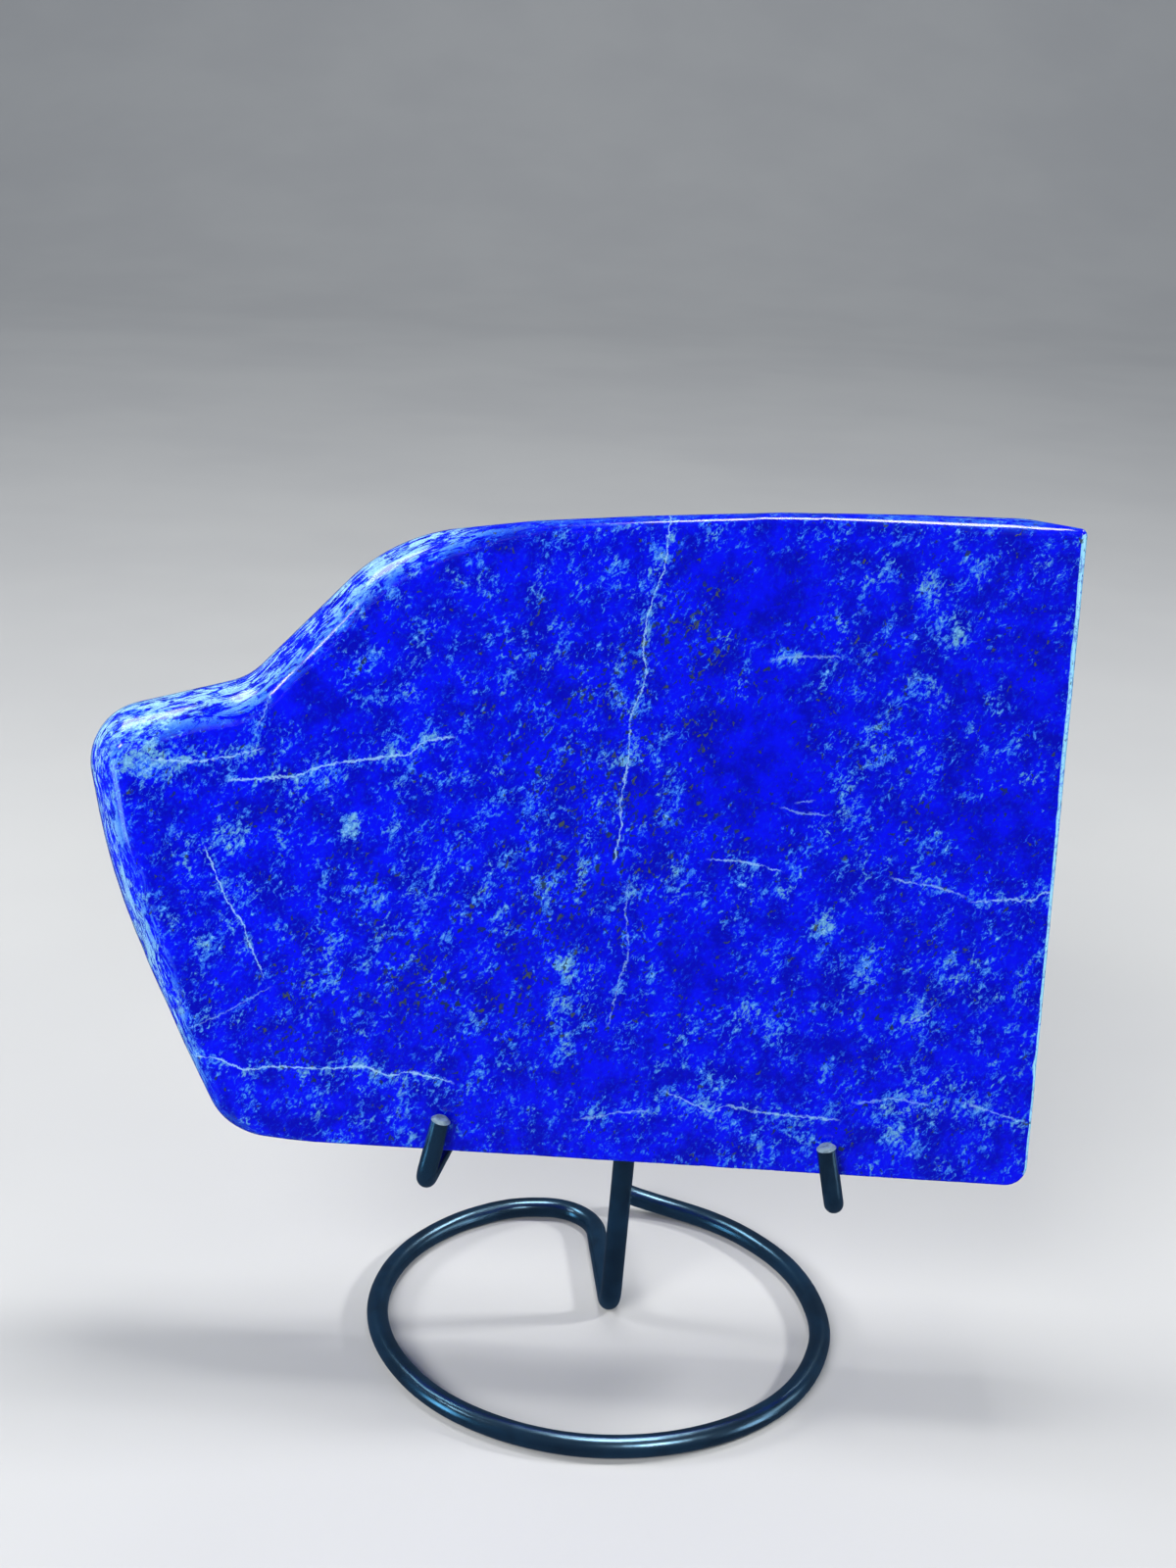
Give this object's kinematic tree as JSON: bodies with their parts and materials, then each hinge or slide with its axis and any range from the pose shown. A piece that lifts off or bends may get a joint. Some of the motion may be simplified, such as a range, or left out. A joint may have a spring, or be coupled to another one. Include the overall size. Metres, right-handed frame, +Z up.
{
  "type": "lapis lazuli slab on wire stand",
  "caption": "Polished lapis lazuli slab, sawn on the right and foot and naturally rounded on the left, leaning in the hooks of a bent black wire ring stand.",
  "frame": {"origin": "on the table, under the middle of the whole object's box", "axes": "+Z up, +X to the right of someone who faces the polished front, +Y towards the back rest"},
  "size_m": [0.1732, 0.0888, 0.159],
  "materials": {
    "lapis": "polished",
    "black_wire": "satin"
  },
  "bodies": {
    "root": {"lapis_slab": "lapis", "base_wire": "black_wire", "cradle_wire": "black_wire"}
  },
  "joints": []
}
